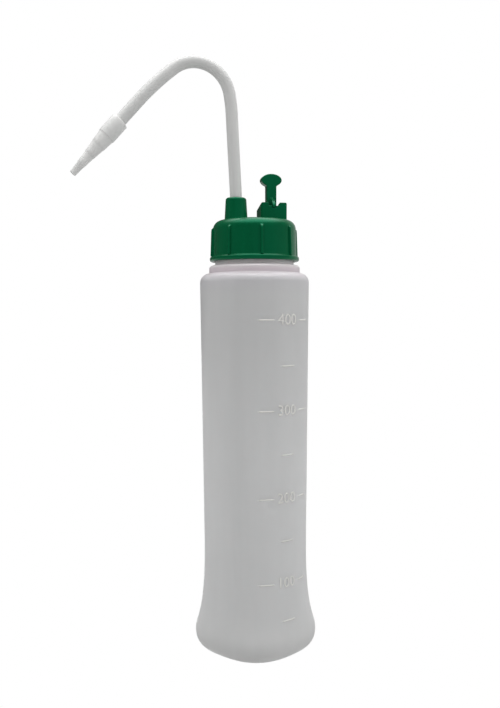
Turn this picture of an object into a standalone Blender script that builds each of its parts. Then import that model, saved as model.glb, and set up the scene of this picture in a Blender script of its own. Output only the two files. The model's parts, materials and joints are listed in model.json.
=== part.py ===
"""Wash bottle: a soft squeeze bottle with a screw cap, a bent delivery tube and a vent lever.

Frame: +Z up, the bottle stands on z = 0, the delivery tube points to -X and the vent lever
stands at +X. The origin lies under the middle of the whole object, so the bottle's own axis
is at x = AXIS_X. Inside each function, shapes are drawn about the axis of their own piece.
"""
import math

import bmesh
import bpy
from mathutils import Matrix, Vector

MM = 0.001
GAP = 0.3 * MM
AXIS_X = 28.9 * MM

# Bottle: straight body, a foot that flares to a soft square, and a threaded neck
SIDES = 40
BODY_TOP_R = 27.75 * MM
BODY_LOW_R = 27.25 * MM
WALL = 1.2 * MM
FLARE_TOP_Z = 60.0 * MM
FLARE_BEND_Z = 17.2 * MM
FOOT_WIDEST_Z = 9.1 * MM
FOOT_FACE_OUT = 3.25 * MM
FOOT_CORNER_OUT = 5.5 * MM
FOOT_CORNER_ANGLE = math.radians(-10.0)
HEEL_WIDTH = 7.0 * MM
STAND_INNER_R = 21.5 * MM
PUNT_R = 17.0 * MM
PUNT_Z = 2.6 * MM
FLOOR_THICKNESS = 1.6 * MM
SHOULDER_Z = 194.6 * MM
SHOULDER_RADIUS = 4.6 * MM
COLLAR_R = 23.1 * MM
COLLAR_TOP_Z = 203.1 * MM
COLLAR_ROUND = 1.6 * MM
BEAD_R = 20.0 * MM
BEAD_TOP_Z = 206.2 * MM
NECK_R = 18.3 * MM
NECK_BORE_R = 16.5 * MM
RIM_Z = 221.2 * MM

# Screw thread between the neck and the cap: one right-hand start
PITCH = 4.0 * MM
THREAD_TURNS = 1.5
THREAD_ROOT = 1.7 * MM
THREAD_CREST = 0.9 * MM
THREAD_DEPTH = 1.05 * MM
THREAD_STEPS_PER_TURN = 32
NECK_THREAD_Z = 210.0 * MM

# Screw cap
CAP_SIDES = 48
CAP_WALL_R = 21.0 * MM
CAP_FOOT_R = 21.4 * MM
CAP_INNER_R = 19.75 * MM
CAP_MOUTH_R = 20.4 * MM
CAP_BOTTOM_Z = 205.1 * MM
FLANGE_R = 22.7 * MM
FLANGE_TOP_Z = 207.5 * MM
CAP_EDGE_RADIUS = 4.5 * MM
CAP_TOP_Z = 225.3 * MM
CAP_CROWN = 0.3 * MM
CAP_CEILING_Z = 223.3 * MM
RIB_COUNT = 8
RIB_WIDTH = 1.3 * MM
RIB_TOP_R = 21.95 * MM
RIB_FOOT_R = 22.55 * MM
RIB_FIRST_ANGLE = math.radians(-2.0)
RIB_TOP_Z = 221.5 * MM

# Seal ring between the neck's rim and the cap
SEAL_OUTER_R = 19.2 * MM
SEAL_INNER_R = 16.5 * MM
SEAL_HEIGHT = 1.5 * MM

# Tube boss on the cap and the tubes it holds
BOSS_X = -9.35 * MM
BOSS_FOOT_R = 5.8 * MM
BOSS_TOP_R = 5.25 * MM
BOSS_TOP_Z = 236.3 * MM
TUBE_R = 3.0 * MM
TUBE_BORE_R = 1.9 * MM
TUBE_SIDES = 14
LEDGE_Z = 224.2 * MM
LEDGE_HEIGHT = 1.0 * MM
SOCKET_R = 5.0 * MM
SOCKET_BOTTOM_Z = 215.0 * MM

# Delivery tube above the boss as sections (length, turn in degrees, steps): a leaning riser that
# runs into one tight bend, then an arm that droops a little and ends straight
RISER_START_Z = 236.0 * MM
TUBE_SECTIONS = ((1.9 * MM, 2.7, 2), (38.0 * MM, 0.0, 2), (9.5 * MM, 7.5, 3),
                 (34.8 * MM, 116.6, 16), (24.0 * MM, 10.1, 4), (21.7 * MM, 0.0, 2))

# Nozzle tip: a sleeve over the arm's end, then a cone with three fine steps (distance, radius)
SLEEVE_OVERLAP = 9.0 * MM
NOZZLE_SLEEVE = 10.0 * MM
SLEEVE_R = 4.35 * MM
NOZZLE_STEPS = ((15.8 * MM, 3.45 * MM), (22.0 * MM, 2.62 * MM), (28.2 * MM, 2.0 * MM))
NOZZLE_LENGTH = 34.3 * MM
NOZZLE_TIP_R = 1.65 * MM
NOZZLE_JET_R = 0.7 * MM
NOZZLE_RIDGE = 0.09 * MM

# Dip tube
DIP_BOTTOM_Z = 6.5 * MM
DIP_CUT_HEIGHT = 5.0 * MM

# Vent block on the cap
VENT_X = 9.0 * MM
BLOCK_WIDTH = 13.4 * MM
BLOCK_DEPTH = 11.4 * MM
BLOCK_TOP_Z = 233.9 * MM
BLOCK_FALL = 2.4 * MM
BLOCK_ROUND = 0.9 * MM
SLOT_WIDTH = 5.6 * MM
SLOT_FLOOR_Z = 227.5 * MM
FRONT_WALL = 1.35 * MM
FRONT_WALL_Z = 232.3 * MM
NOTCH_DEPTH = 1.0 * MM
PORT_R = 0.9 * MM

# Vent seal in its counterbore under the lever's barrel
VENT_SEAL_R = 2.3 * MM
VENT_SEAL_BORE_R = 1.1 * MM
VENT_SEAL_HEIGHT = 1.4 * MM

# Vent lever: barrel with two trunnions, stem, oval thumb tab and a stop fin
PIVOT_Y = 2.0 * MM
PIVOT_Z = 230.3 * MM
BARREL_R = 2.5 * MM
BARREL_WIDTH = 4.8 * MM
TRUNNION_R = 1.2 * MM
TRUNNION_REACH = 4.8 * MM
STEM_WIDTH = 5.0 * MM
LEVER_THICKNESS = 4.8 * MM
TAB_CENTRE_Z = 245.4 * MM
TAB_HALF_WIDTH = 5.25 * MM
TAB_HALF_HEIGHT = 3.05 * MM
TAB_FILLET = 1.0 * MM
FIN_THICKNESS = 1.4 * MM
FIN_TOP_Z = 236.6 * MM
FIN_BOTTOM_Z = 231.6 * MM
FIN_REACH = 7.9 * MM
CROSS_HOLE_R = 0.9 * MM


# ---------------------------------------------------------------- helpers

def clear_scene():
    """Remove every object that is already there."""
    for item in list(bpy.data.objects):
        bpy.data.objects.remove(item, do_unlink=True)


def plastic(name, colour, roughness):
    """A Principled BSDF in one plain colour."""
    material = bpy.data.materials.new(name)
    material.use_nodes = True
    shader = material.node_tree.nodes["Principled BSDF"]
    shader.inputs["Base Color"].default_value = (*colour, 1.0)
    shader.inputs["Roughness"].default_value = roughness
    shader.inputs["Metallic"].default_value = 0.0
    return material


def empty_at(name, location, parent=None):
    """An empty that marks an axis."""
    marker = bpy.data.objects.new(name, None)
    marker.location = location
    marker.parent = parent
    bpy.context.collection.objects.link(marker)
    return marker


def object_from_bmesh(name, shape, parent, location=(0.0, 0.0, 0.0), material=None):
    """Turn a closed bmesh into an object with outward faces and smooth shading."""
    bmesh.ops.remove_doubles(shape, verts=shape.verts, dist=0.001 * MM)
    bmesh.ops.recalc_face_normals(shape, faces=shape.faces)
    mesh = bpy.data.meshes.new(name)
    shape.to_mesh(mesh)
    shape.free()
    mesh.shade_smooth()
    mesh.set_sharp_from_angle(angle=math.radians(35.0))
    item = bpy.data.objects.new(name, mesh)
    item.location = location
    item.parent = parent
    bpy.context.collection.objects.link(item)
    if material:
        mesh.materials.append(material)
    return item


def skin(rings, closed=False):
    """Join rings of points with quads; a ring of one point closes the shape with a fan."""
    shape = bmesh.new()
    rows = [[shape.verts.new(point) for point in ring] for ring in rings]
    pairs = list(zip(rows, rows[1:]))
    if closed:
        pairs.append((rows[-1], rows[0]))
    for low, high in pairs:
        count = max(len(low), len(high))
        for i in range(count):
            j = (i + 1) % count
            corners = [low[i % len(low)], low[j % len(low)], high[j % len(high)], high[i % len(high)]]
            shape.faces.new(list(dict.fromkeys(corners)))
    return shape


def turned_ring(radius, z, sides):
    """One horizontal ring of a turned shape, or its centre point when the radius is zero."""
    if radius == 0.0:
        return [Vector((0.0, 0.0, z))]
    turns = [2.0 * math.pi * i / sides for i in range(sides)]
    return [Vector((radius * math.cos(a), radius * math.sin(a), z)) for a in turns]


def turned(profile, sides, closed=False):
    """A turned shape from (radius, z) points."""
    return skin([turned_ring(radius, z, sides) for radius, z in profile], closed)


def arc(centre, radius, start, end, steps):
    """Points (x, z) on an arc between two angles in degrees, ends included."""
    points = []
    for i in range(steps + 1):
        angle = math.radians(start + (end - start) * i / steps)
        points.append((centre[0] + radius * math.cos(angle), centre[1] + radius * math.sin(angle)))
    return points


def box(width, depth, height, centre):
    """A plain box."""
    shape = bmesh.new()
    bmesh.ops.create_cube(shape, size=1.0)
    bmesh.ops.scale(shape, vec=(width, depth, height), verts=shape.verts)
    bmesh.ops.translate(shape, vec=centre, verts=shape.verts)
    return shape


def rod(radius, length, sides, centre, along="Z"):
    """A solid round rod centred on a point."""
    shape = bmesh.new()
    bmesh.ops.create_cone(shape, cap_ends=True, segments=sides, radius1=radius, radius2=radius,
                          depth=length)
    if along == "X":
        bmesh.ops.rotate(shape, matrix=Matrix.Rotation(math.pi / 2, 3, "Y"), verts=shape.verts)
    if along == "Y":
        bmesh.ops.rotate(shape, matrix=Matrix.Rotation(math.pi / 2, 3, "X"), verts=shape.verts)
    bmesh.ops.translate(shape, vec=centre, verts=shape.verts)
    return shape


def combine(item, shape, operation, name):
    """Add or cut a helper shape with a Boolean; the helper stays as a hidden guide."""
    helper = object_from_bmesh(name, shape, item.parent, item.location)
    helper.hide_render = True
    helper.display_type = "WIRE"
    modifier = item.modifiers.new(name, "BOOLEAN")
    modifier.operation = operation
    modifier.solver = "EXACT"
    modifier.object = helper


def thread_ridge(wall_r, crest_r, start_z, first_angle):
    """A helical ridge whose root is sunk in the wall and whose ends run out to nothing."""
    steps = round(THREAD_TURNS * THREAD_STEPS_PER_TURN)
    root_r = wall_r - 0.4 * MM * math.copysign(1.0, crest_r - wall_r)
    rings = []
    for i in range(steps + 1):
        turn = i / THREAD_STEPS_PER_TURN
        angle = first_angle + 2.0 * math.pi * turn
        z = start_z + PITCH * turn
        rise = min(1.0, i / 4.0, (steps - i) / 4.0)
        tip_r = wall_r + (crest_r - wall_r) * (0.1 + 0.9 * rise)
        corners = ((root_r, -THREAD_ROOT / 2), (tip_r, -THREAD_CREST / 2),
                   (tip_r, THREAD_CREST / 2), (root_r, THREAD_ROOT / 2))
        rings.append([Vector((r * math.cos(angle), r * math.sin(angle), z + dz)) for r, dz in corners])
    shape = skin(rings)
    shape.verts.ensure_lookup_table()
    shape.faces.new(shape.verts[:4])
    shape.faces.new(shape.verts[-4:])
    return shape


# ---------------------------------------------------------------- bottle

def body_radius(z):
    """Outer radius of the straight body, which tapers a little towards the foot."""
    share = (z - FLARE_TOP_Z) / (SHOULDER_Z - FLARE_TOP_Z)
    return BODY_LOW_R + (BODY_TOP_R - BODY_LOW_R) * max(0.0, share)


def bottle_ring(radius, flare, z):
    """A ring of the bottle; flare 1 is the full soft-square foot and 0 is round."""
    points = []
    for i in range(SIDES):
        angle = 2.0 * math.pi * i / SIDES
        corner = 0.5 + 0.5 * math.cos(4.0 * (angle - FOOT_CORNER_ANGLE))
        reach = radius + flare * (FOOT_FACE_OUT + (FOOT_CORNER_OUT - FOOT_FACE_OUT) * corner)
        points.append(Vector((reach * math.cos(angle), reach * math.sin(angle), z)))
    return points


def flare_curve(steps):
    """(flare, z) from the widest part of the foot up to the straight body, a Bezier S."""
    curve = []
    for i in range(steps + 1):
        t = i / steps
        flare = 1.0 - 3.0 * t * t * (1.0 - t) - t ** 3
        z = (FOOT_WIDEST_Z * (1.0 - t) ** 3 + 3.0 * FLARE_BEND_Z * t * (1.0 - t)
             + FLARE_TOP_Z * t ** 3)
        curve.append((flare, z))
    return curve


def bottle_outside():
    """Rings of the outer surface, from the middle of the base up to the rim."""
    rings = [[Vector((0.0, 0.0, PUNT_Z))], bottle_ring(PUNT_R, 0.0, PUNT_Z)]
    rings.append(bottle_ring(STAND_INNER_R - 1.2 * MM, 0.0, 0.5 * MM))
    rings.append(bottle_ring(STAND_INNER_R, 0.0, 0.0))
    for inward, z in arc((0.0, 1.0), 1.0, -90.0, -18.0, 4):
        rings.append(bottle_ring(BODY_LOW_R - HEEL_WIDTH * (1.0 - inward), 1.0, FOOT_WIDEST_Z * z))
    for flare, z in flare_curve(9):
        rings.append(bottle_ring(BODY_LOW_R, flare, z))
    centre = (BODY_TOP_R - SHOULDER_RADIUS, SHOULDER_Z)
    for radius, z in arc(centre, SHOULDER_RADIUS, 0.0, 90.0, 5):
        rings.append(bottle_ring(radius, 0.0, z))
    centre = (COLLAR_R - COLLAR_ROUND, COLLAR_TOP_Z - COLLAR_ROUND)
    for radius, z in arc(centre, COLLAR_ROUND, 0.0, 90.0, 3):
        rings.append(bottle_ring(radius, 0.0, z))
    for radius, z in ((BEAD_R, COLLAR_TOP_Z), (BEAD_R, BEAD_TOP_Z - 0.4 * MM),
                      (BEAD_R - 0.4 * MM, BEAD_TOP_Z), (NECK_R, BEAD_TOP_Z + 0.6 * MM),
                      (NECK_R, RIM_Z - 0.4 * MM), (NECK_R - 0.4 * MM, RIM_Z)):
        rings.append(bottle_ring(radius, 0.0, z))
    return rings


def bottle_inside():
    """Rings of the inner surface, from the rim down to the middle of the floor."""
    rings = []
    shoulder_r = BODY_TOP_R - WALL
    for radius, z in ((NECK_BORE_R + 0.3 * MM, RIM_Z), (NECK_BORE_R, RIM_Z - 0.3 * MM),
                      (NECK_BORE_R, COLLAR_TOP_Z), (NECK_BORE_R + 1.6 * MM, COLLAR_TOP_Z - 1.6 * MM),
                      (COLLAR_R - WALL, SHOULDER_Z + SHOULDER_RADIUS - 1.4 * MM)):
        rings.append(bottle_ring(radius, 0.0, z))
    inner_round = SHOULDER_RADIUS - WALL
    for radius, z in arc((shoulder_r - inner_round, SHOULDER_Z), inner_round, 65.0, 0.0, 3):
        rings.append(bottle_ring(radius, 0.0, z))
    for flare, z in reversed(flare_curve(6)):
        rings.append(bottle_ring(BODY_LOW_R - WALL, flare, z))
    rings.append(bottle_ring(BODY_LOW_R - WALL - 1.9 * MM, 1.0, 4.2 * MM))
    rings.append(bottle_ring(BODY_LOW_R - WALL - 4.6 * MM, 1.0, FLOOR_THICKNESS))
    rings.append(bottle_ring(STAND_INNER_R, 0.0, FLOOR_THICKNESS))
    rings.append(bottle_ring(PUNT_R, 0.0, PUNT_Z + FLOOR_THICKNESS))
    rings.append([Vector((0.0, 0.0, PUNT_Z + FLOOR_THICKNESS))])
    return rings


def make_bottle(axis):
    """Blow-moulded bottle with its screw thread."""
    material = plastic("bottle_plastic", (0.72, 0.73, 0.72), 0.32)
    shape = skin(bottle_outside() + bottle_inside())
    bottle = object_from_bmesh("bottle", shape, axis, material=material)
    ridge = thread_ridge(NECK_R, NECK_R + THREAD_DEPTH, NECK_THREAD_Z, 0.0)
    combine(bottle, ridge, "UNION", "guide_neck_thread")
    return bottle


# ---------------------------------------------------------------- cap and what it holds

def cap_shell():
    """The turned cap: crowned top, rounded edge, wall, flange and the hollow inside."""
    edge = (CAP_WALL_R - CAP_EDGE_RADIUS, CAP_TOP_Z - CAP_EDGE_RADIUS)
    profile = [(0.0, CAP_TOP_Z + CAP_CROWN), (edge[0] * 0.6, CAP_TOP_Z + 0.6 * CAP_CROWN)]
    profile += arc(edge, CAP_EDGE_RADIUS, 90.0, 0.0, 5)
    profile += [(CAP_FOOT_R, FLANGE_TOP_Z), (FLANGE_R - 0.8 * MM, FLANGE_TOP_Z - 0.1 * MM),
                (FLANGE_R, FLANGE_TOP_Z - 0.9 * MM), (FLANGE_R, CAP_BOTTOM_Z + 0.8 * MM),
                (FLANGE_R - 0.8 * MM, CAP_BOTTOM_Z), (CAP_MOUTH_R, CAP_BOTTOM_Z),
                (CAP_MOUTH_R, BEAD_TOP_Z + 0.8 * MM), (CAP_INNER_R, BEAD_TOP_Z + 1.6 * MM),
                (CAP_INNER_R, CAP_CEILING_Z), (0.0, CAP_CEILING_Z)]
    return turned(profile, CAP_SIDES)


def rib(number):
    """One upright grip rib, its top end sloping back into the wall."""
    angle = RIB_FIRST_ANGLE + 2.0 * math.pi * number / RIB_COUNT
    outline = ((CAP_WALL_R - 0.5 * MM, RIB_TOP_Z), (RIB_TOP_R - 0.8 * MM, RIB_TOP_Z - 0.3 * MM),
               (RIB_TOP_R, RIB_TOP_Z - 1.3 * MM), (RIB_FOOT_R, FLANGE_TOP_Z - 0.5 * MM),
               (CAP_WALL_R - 0.5 * MM, FLANGE_TOP_Z - 0.5 * MM))
    rings = [[Vector((r, side * RIB_WIDTH / 2, z)) for r, z in outline] for side in (-1, 1)]
    shape = skin(rings)
    shape.verts.ensure_lookup_table()
    shape.faces.new(shape.verts[:len(outline)])
    shape.faces.new(shape.verts[len(outline):])
    bmesh.ops.rotate(shape, matrix=Matrix.Rotation(angle, 3, "Z"), verts=shape.verts)
    return shape


def boss():
    """Tapered tube boss with a rounded top."""
    top_round = 1.0 * MM
    profile = [(0.0, CAP_TOP_Z - 1.0 * MM), (BOSS_FOOT_R, CAP_TOP_Z - 1.0 * MM)]
    profile += arc((BOSS_TOP_R - top_round, BOSS_TOP_Z - top_round), top_round, 0.0, 90.0, 3)
    profile.append((0.0, BOSS_TOP_Z))
    shape = turned(profile, 28)
    bmesh.ops.translate(shape, vec=(BOSS_X, 0.0, 0.0), verts=shape.verts)
    return shape


def vent_block():
    """Upright block that carries the lever; its rounded top falls towards the back."""
    low = CAP_TOP_Z - 0.9 * MM
    shape = box(BLOCK_WIDTH, BLOCK_DEPTH, BLOCK_TOP_Z - low, (VENT_X, 0.0, (BLOCK_TOP_Z + low) / 2))
    rim = [edge for edge in shape.edges if max(v.co.z for v in edge.verts) > BLOCK_TOP_Z - 0.1 * MM
           and abs(edge.verts[0].co.x - edge.verts[1].co.x) < 0.1 * MM]
    bmesh.ops.bevel(shape, geom=rim, offset=BLOCK_ROUND, segments=2, profile=0.5, affect="EDGES")
    for vert in shape.verts:
        if vert.co.y > 0.0 and vert.co.z > low + 1.0 * MM:
            vert.co.z -= BLOCK_FALL
    return shape


def tube_passages():
    """The boss bore, the ledge between the two tubes and the dip tube's socket."""
    bore_r = TUBE_R + GAP
    profile = [(0.0, BOSS_TOP_Z + 2.0 * MM), (bore_r, BOSS_TOP_Z + 2.0 * MM),
               (bore_r, LEDGE_Z + LEDGE_HEIGHT), (TUBE_BORE_R, LEDGE_Z + LEDGE_HEIGHT),
               (TUBE_BORE_R, LEDGE_Z), (bore_r, LEDGE_Z), (bore_r, SOCKET_BOTTOM_Z - 2.0 * MM),
               (0.0, SOCKET_BOTTOM_Z - 2.0 * MM)]
    shape = turned(profile, 20)
    bmesh.ops.translate(shape, vec=(BOSS_X, 0.0, 0.0), verts=shape.verts)
    return shape


def vent_passages():
    """The seal's counterbore and the vent port below it."""
    seat_r = VENT_SEAL_R + GAP
    seat_z = SLOT_FLOOR_Z - VENT_SEAL_HEIGHT - GAP
    profile = [(0.0, SLOT_FLOOR_Z + 1.0 * MM), (seat_r, SLOT_FLOOR_Z + 1.0 * MM), (seat_r, seat_z),
               (PORT_R, seat_z), (PORT_R, CAP_CEILING_Z - 1.0 * MM), (0.0, CAP_CEILING_Z - 1.0 * MM)]
    shape = turned(profile, 16)
    bmesh.ops.translate(shape, vec=(VENT_X, PIVOT_Y, 0.0), verts=shape.verts)
    return shape


def make_screw_cap(axis):
    """Cap moulding: shell, ribs, boss, block and socket, then the passages through them."""
    material = plastic("cap_plastic", (0.004, 0.17, 0.07), 0.25)
    cap = object_from_bmesh("screw_cap", cap_shell(), axis, material=material)
    for number in range(RIB_COUNT):
        combine(cap, rib(number), "UNION", f"guide_rib_{number}")
    combine(cap, boss(), "UNION", "guide_boss")
    combine(cap, vent_block(), "UNION", "guide_block")
    socket_height = CAP_CEILING_Z + 1.0 * MM - SOCKET_BOTTOM_Z
    socket = rod(SOCKET_R, socket_height, 24, (BOSS_X, 0.0, SOCKET_BOTTOM_Z + socket_height / 2))
    combine(cap, socket, "UNION", "guide_socket")
    combine(cap, tube_passages(), "DIFFERENCE", "guide_tube_passages")
    slot = box(SLOT_WIDTH, BLOCK_DEPTH, 10.0 * MM, (VENT_X, FRONT_WALL, SLOT_FLOOR_Z + 5.0 * MM))
    combine(cap, slot, "DIFFERENCE", "guide_slot")
    window = box(SLOT_WIDTH, 4.0 * MM, 4.0 * MM, (VENT_X, -BLOCK_DEPTH / 2, FRONT_WALL_Z + 2.0 * MM))
    combine(cap, window, "DIFFERENCE", "guide_window")
    notch = box(FIN_THICKNESS + 2 * GAP, 4.0 * MM, 4.0 * MM,
                (VENT_X, -BLOCK_DEPTH / 2, FRONT_WALL_Z - NOTCH_DEPTH + 2.0 * MM))
    combine(cap, notch, "DIFFERENCE", "guide_notch")
    pivots = rod(TRUNNION_R + GAP, 2.0 * (TRUNNION_REACH + GAP), 16, (VENT_X, PIVOT_Y, PIVOT_Z), "X")
    combine(cap, pivots, "DIFFERENCE", "guide_pivots")
    combine(cap, vent_passages(), "DIFFERENCE", "guide_vent_passages")
    ridge = thread_ridge(CAP_INNER_R, CAP_INNER_R - THREAD_DEPTH, NECK_THREAD_Z + PITCH / 2, 0.0)
    combine(cap, ridge, "UNION", "guide_cap_thread")
    return cap


def make_seal_ring(axis):
    """Flat sealing ring between the neck's rim and the cap's ceiling."""
    material = plastic("seal_foam", (0.8, 0.8, 0.78), 0.6)
    low = RIM_Z + GAP
    high = low + SEAL_HEIGHT
    profile = [(SEAL_OUTER_R, high), (SEAL_OUTER_R, low), (SEAL_INNER_R, low), (SEAL_INNER_R, high)]
    return object_from_bmesh("seal_ring", turned(profile, 36, closed=True), axis, material=material)


def make_vent_seal(axis):
    """Rubber ring round the vent port."""
    material = plastic("vent_rubber", (0.05, 0.05, 0.05), 0.6)
    high = 0.0
    low = -VENT_SEAL_HEIGHT
    profile = [(VENT_SEAL_R, high), (VENT_SEAL_R, low), (VENT_SEAL_BORE_R, low), (VENT_SEAL_BORE_R, high)]
    shape = turned(profile, 16, closed=True)
    return object_from_bmesh("vent_seal", shape, axis, (VENT_X, PIVOT_Y, SLOT_FLOOR_Z), material)


# ---------------------------------------------------------------- tubes

def tube_route():
    """Centre line of the delivery tube as (x, z, heading), about the boss axis."""
    heading = math.pi / 2
    route = [(0.0, LEDGE_Z + LEDGE_HEIGHT + GAP, heading), (0.0, RISER_START_Z, heading)]
    for length, turn, steps in TUBE_SECTIONS:
        half = math.radians(turn) / steps / 2
        chord = length / steps
        if half:
            chord *= math.sin(half) / half
        for _ in range(steps):
            x, z, heading = route[-1]
            route.append((x + chord * math.cos(heading + half), z + chord * math.sin(heading + half),
                          heading + 2 * half))
    return route


def route_ring(point, radius):
    """A ring square to the route at one of its points."""
    x, z, heading = point
    ring = []
    for i in range(TUBE_SIDES):
        angle = 2.0 * math.pi * i / TUBE_SIDES
        sideways = radius * math.cos(angle)
        ring.append(Vector((x - sideways * math.sin(heading), radius * math.sin(angle),
                            z + sideways * math.cos(heading))))
    return ring


def make_delivery_tube(axis):
    """Bent tube that carries the liquid to the nozzle."""
    material = plastic("tube_plastic", (0.74, 0.76, 0.74), 0.3)
    route = tube_route()
    rings = [route_ring(point, TUBE_R) for point in route]
    rings += [route_ring(point, TUBE_BORE_R) for point in reversed(route)]
    return object_from_bmesh("delivery_tube", skin(rings, closed=True), axis, material=material)


def nozzle_profile():
    """Closed (radius, distance) outline of the nozzle: sleeve and cone outside, bore inside."""
    outside = [(SLEEVE_R - 0.1 * MM, 0.0), (SLEEVE_R, 0.3 * MM), (SLEEVE_R, NOZZLE_SLEEVE),
               (SLEEVE_R - 0.2 * MM, NOZZLE_SLEEVE + 0.2 * MM)]
    for distance, radius in NOZZLE_STEPS:
        outside.append((radius + NOZZLE_RIDGE, distance))
        outside.append((radius - NOZZLE_RIDGE, distance + 0.4 * MM))
    outside += [(NOZZLE_TIP_R, NOZZLE_LENGTH - 0.4 * MM), (NOZZLE_TIP_R - 0.3 * MM, NOZZLE_LENGTH)]
    inside = [(NOZZLE_JET_R, NOZZLE_LENGTH), (NOZZLE_JET_R, NOZZLE_LENGTH - 4.0 * MM),
              (TUBE_BORE_R, SLEEVE_OVERLAP + 2.0 * MM), (TUBE_BORE_R, SLEEVE_OVERLAP + GAP),
              (TUBE_R + GAP, SLEEVE_OVERLAP + GAP), (TUBE_R + GAP, 0.0)]
    return outside + inside


def make_nozzle_tip(axis):
    """Tapered jet pushed over the arm's end; its own +Z runs along the arm."""
    material = plastic("nozzle_plastic", (0.78, 0.79, 0.77), 0.3)
    nozzle = object_from_bmesh("nozzle_tip", turned(nozzle_profile(), 16, closed=True), axis,
                               material=material)
    end_x, end_z, heading = tube_route()[-1]
    nozzle.location = (end_x - SLEEVE_OVERLAP * math.cos(heading), 0.0,
                       end_z - SLEEVE_OVERLAP * math.sin(heading))
    nozzle.rotation_euler = (0.0, math.pi / 2 - heading, 0.0)
    return nozzle


def make_dip_tube(axis):
    """Straight tube from the socket to the floor, cut on a slant at its foot."""
    material = plastic("dip_plastic", (0.74, 0.76, 0.74), 0.3)
    top = LEDGE_Z - GAP
    rings = []
    for radius, upper in ((TUBE_R, False), (TUBE_R, True), (TUBE_BORE_R, True), (TUBE_BORE_R, False)):
        ring = turned_ring(radius, top, TUBE_SIDES)
        if not upper:
            for point in ring:
                point.z = DIP_BOTTOM_Z + DIP_CUT_HEIGHT * (0.5 + 0.5 * point.x / TUBE_R)
        rings.append(ring)
    return object_from_bmesh("dip_tube", skin(rings, closed=True), axis, material=material)


# ---------------------------------------------------------------- vent lever

def lever_outline():
    """Flat outline of stem and thumb tab as (x, z), about the pivot."""
    half = STEM_WIDTH / 2
    tab_z = TAB_CENTRE_Z - PIVOT_Z
    join = math.asin((half + TAB_FILLET) / TAB_HALF_WIDTH)
    outline = [(half, 0.0), (half, tab_z - TAB_HALF_HEIGHT * math.cos(join) - TAB_FILLET)]
    steps = 18
    for i in range(steps + 1):
        angle = join + (2.0 * math.pi - 2.0 * join) * i / steps
        outline.append((TAB_HALF_WIDTH * math.sin(angle), tab_z - TAB_HALF_HEIGHT * math.cos(angle)))
    return outline + [(-x, z) for x, z in reversed(outline[:2])]


def lever_blade():
    """Stem and thumb tab with softened edges."""
    outline = lever_outline()
    rings = [[Vector((x, side * LEVER_THICKNESS / 2, z)) for x, z in outline] for side in (-1, 1)]
    shape = skin(rings)
    shape.verts.ensure_lookup_table()
    front = shape.faces.new(shape.verts[:len(outline)])
    back = shape.faces.new(shape.verts[len(outline):])
    bmesh.ops.recalc_face_normals(shape, faces=shape.faces)
    rim = set(front.edges) | set(back.edges)
    foot = [edge for edge in rim if max(v.co.z for v in edge.verts) < 0.1 * MM]
    bmesh.ops.bevel(shape, geom=list(rim - set(foot)), offset=0.45 * MM, segments=2, affect="EDGES")
    return shape


def stop_fin():
    """Thin fin in front of the stem's foot, with a curved front edge that drops into the notch."""
    top = FIN_TOP_Z - PIVOT_Z
    bottom = FIN_BOTTOM_Z - PIVOT_Z
    face = LEVER_THICKNESS / 2
    edge = []
    for i in range(6):
        t = i / 5
        edge.append((-face - (FIN_REACH - face) * math.sin(t * math.pi / 2), top + (bottom - top) * t ** 1.3))
    outline = [(-face + 0.5 * MM, top)] + edge + [(-face + 0.5 * MM, bottom)]
    rings = [[Vector((side * FIN_THICKNESS / 2, y, z)) for y, z in outline] for side in (-1, 1)]
    shape = skin(rings)
    shape.verts.ensure_lookup_table()
    shape.faces.new(shape.verts[:len(outline)])
    shape.faces.new(shape.verts[len(outline):])
    return shape


def make_vent_lever(axis):
    """T-shaped vent lever, upright when the vent is shut, about its trunnions."""
    material = plastic("lever_plastic", (0.004, 0.17, 0.07), 0.25)
    lever = object_from_bmesh("vent_lever", rod(BARREL_R, BARREL_WIDTH, 24, (0.0, 0.0, 0.0), "X"), axis,
                              material=material)
    combine(lever, lever_blade(), "UNION", "guide_blade")
    combine(lever, stop_fin(), "UNION", "guide_fin")
    trunnions = rod(TRUNNION_R, 2.0 * TRUNNION_REACH, 16, (0.0, 0.0, 0.0), "X")
    combine(lever, trunnions, "UNION", "guide_trunnions")
    cross_hole = rod(CROSS_HOLE_R, 4.0 * BARREL_R, 12, (0.0, 0.0, -1.1 * MM), "Y")
    combine(lever, cross_hole, "DIFFERENCE", "guide_cross_hole")
    return lever


def main():
    """Build every piece about its own joint's axis."""
    clear_scene()
    bottle_axis = empty_at("bottle_axis", (AXIS_X, 0.0, 0.0))
    boss_axis = empty_at("boss_axis", (BOSS_X, 0.0, 0.0), bottle_axis)
    lever_axis = empty_at("lever_axis", (VENT_X, PIVOT_Y, PIVOT_Z), bottle_axis)
    make_bottle(bottle_axis)
    make_screw_cap(bottle_axis)
    make_seal_ring(bottle_axis)
    make_vent_seal(bottle_axis)
    make_vent_lever(lever_axis)
    make_delivery_tube(boss_axis)
    make_nozzle_tip(boss_axis)
    make_dip_tube(boss_axis)


main()
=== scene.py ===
"""Looks of the wash bottle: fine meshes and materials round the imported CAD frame."""

import json
import math

import bmesh
import bpy
from mathutils import Matrix, Vector


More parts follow.
